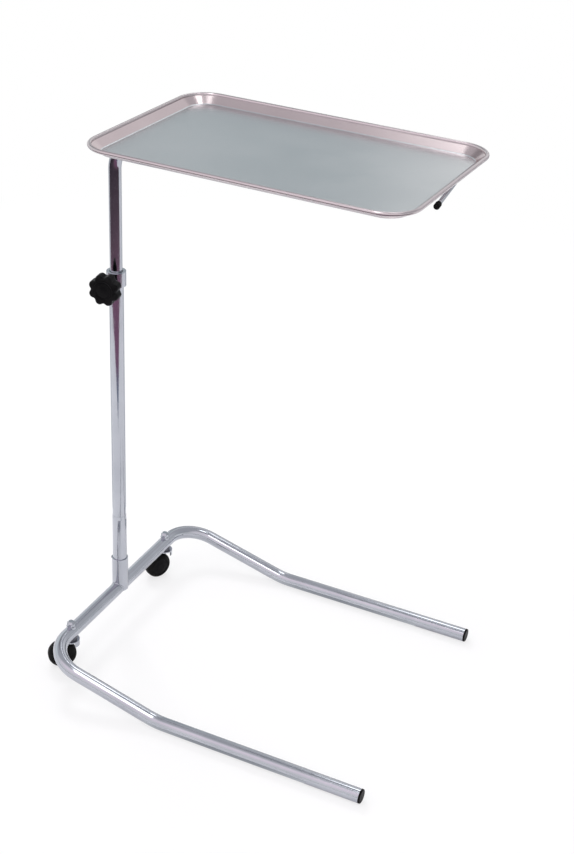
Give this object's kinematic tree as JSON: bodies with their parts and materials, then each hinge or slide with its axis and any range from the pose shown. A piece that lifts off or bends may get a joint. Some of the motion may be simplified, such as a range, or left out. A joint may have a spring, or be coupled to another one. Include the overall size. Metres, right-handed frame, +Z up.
{
  "type": "instrument stand",
  "caption": "Over-table instrument stand: shallow steel tray on a cradle and arm, clamped telescopic post, U-shaped tube base with swivel casters at the back.",
  "frame": {"origin": "on the floor, under the middle of the stand, at the bottom centre of its box", "axes": "+X along the legs, from the post towards their open ends; +Y across the base, to the left seen from behind the post; +Z up"},
  "size_m": [0.5798, 0.4662, 0.8856],
  "materials": {
    "chrome": "polished chrome plate",
    "zinc": "bright zinc plate",
    "tray_steel": "satin stainless steel",
    "black_plastic": "satin moulded plastic",
    "black_rubber": "matte rubber",
    "race_steel": "dark pressed steel",
    "tyre_rubber": "matte rubber",
    "hub_plastic": "satin moulded plastic"
  },
  "bodies": {
    "base": {"crossbar_tube": "chrome", "leg_bow_left": "chrome", "leg_bow_right": "chrome", "leg_tube_left": "chrome", "leg_tube_right": "chrome", "leg_plug_left": "black_plastic", "leg_plug_right": "black_plastic", "post_socket": "chrome", "socket_screw": "race_steel", "post_sleeve": "chrome", "lower_post": "chrome", "clamp_collar": "chrome", "collar_bush": "black_plastic", "caster_left_washer": "chrome", "caster_left_nut": "chrome", "caster_left_stem": "zinc", "caster_left_race": "race_steel", "caster_right_washer": "chrome", "caster_right_nut": "chrome", "caster_right_stem": "zinc", "caster_right_race": "race_steel"},
    "glide": {"glide_plug": "black_plastic"},
    "mast": {"upper_post": "chrome", "arm_plug": "black_plastic", "cradle_rod": "chrome", "cradle_far_bar": "chrome", "cradle_brace": "chrome", "cradle_cap_near": "black_rubber", "cradle_cap_brace": "black_rubber", "cradle_cap_far": "black_rubber", "cradle_pad_near_left": "black_rubber", "cradle_pad_near_right": "black_rubber", "cradle_pad_brace_left": "black_rubber", "cradle_pad_brace_right": "black_rubber"},
    "tray": {"tray": "tray_steel"},
    "pad": {"clamp_pad": "black_plastic"},
    "knob": {"clamp_knob": "black_plastic", "knob_stud": "zinc"},
    "fork_left": {"caster_left_fork": "chrome", "caster_left_axle": "zinc", "caster_left_axle_nut": "zinc"},
    "wheel_left": {"caster_left_hub": "hub_plastic", "caster_left_hub_cap": "hub_plastic", "caster_left_tyre": "tyre_rubber"},
    "fork_right": {"caster_right_fork": "chrome", "caster_right_axle": "zinc", "caster_right_axle_nut": "zinc"},
    "wheel_right": {"caster_right_hub": "hub_plastic", "caster_right_hub_cap": "hub_plastic", "caster_right_tyre": "tyre_rubber"}
  },
  "joints": [
    {"name": "mast_height", "type": "slide", "parent": "base", "child": "glide", "axis": [0, 0, 1], "range_m": [-0.15, 0.275]},
    {"name": "mast_turn", "type": "hinge", "parent": "glide", "child": "mast", "pos_m": [-0.25609, 0, 0.8525], "axis": [0, 0, 1], "continuous": true},
    {"name": "tray_lift", "type": "slide", "parent": "mast", "child": "tray", "axis": [0, 0, 1], "range_m": [0, 0.1]},
    {"name": "clamp_feed", "type": "slide", "parent": "base", "child": "pad", "axis": [0.1392, -0.9903, 0], "range_m": [0, 0.0025]},
    {"name": "knob_turn", "type": "hinge", "parent": "pad", "child": "knob", "pos_m": [-0.25226, -0.02728, 0.6235], "axis": [0.1392, -0.9903, 0], "range_deg": [0, 720]},
    {"name": "swivel_left", "type": "hinge", "parent": "base", "child": "fork_left", "pos_m": [-0.25609, 0.15, 0.0472], "axis": [0, 0, 1], "continuous": true},
    {"name": "roll_left", "type": "hinge", "parent": "fork_left", "child": "wheel_left", "pos_m": [-0.26285, 0.1355, 0.023], "axis": [0.9063, -0.4226, 0], "continuous": true},
    {"name": "swivel_right", "type": "hinge", "parent": "base", "child": "fork_right", "pos_m": [-0.25609, -0.15, 0.0472], "axis": [0, 0, 1], "continuous": true},
    {"name": "roll_right", "type": "hinge", "parent": "fork_right", "child": "wheel_right", "pos_m": [-0.26835, -0.16029, 0.023], "axis": [0.6428, -0.766, 0], "continuous": true}
  ],
  "couplings": [
    {"joint": "clamp_feed", "follows": "knob_turn", "m_per_rad": 0.00019894}
  ]
}
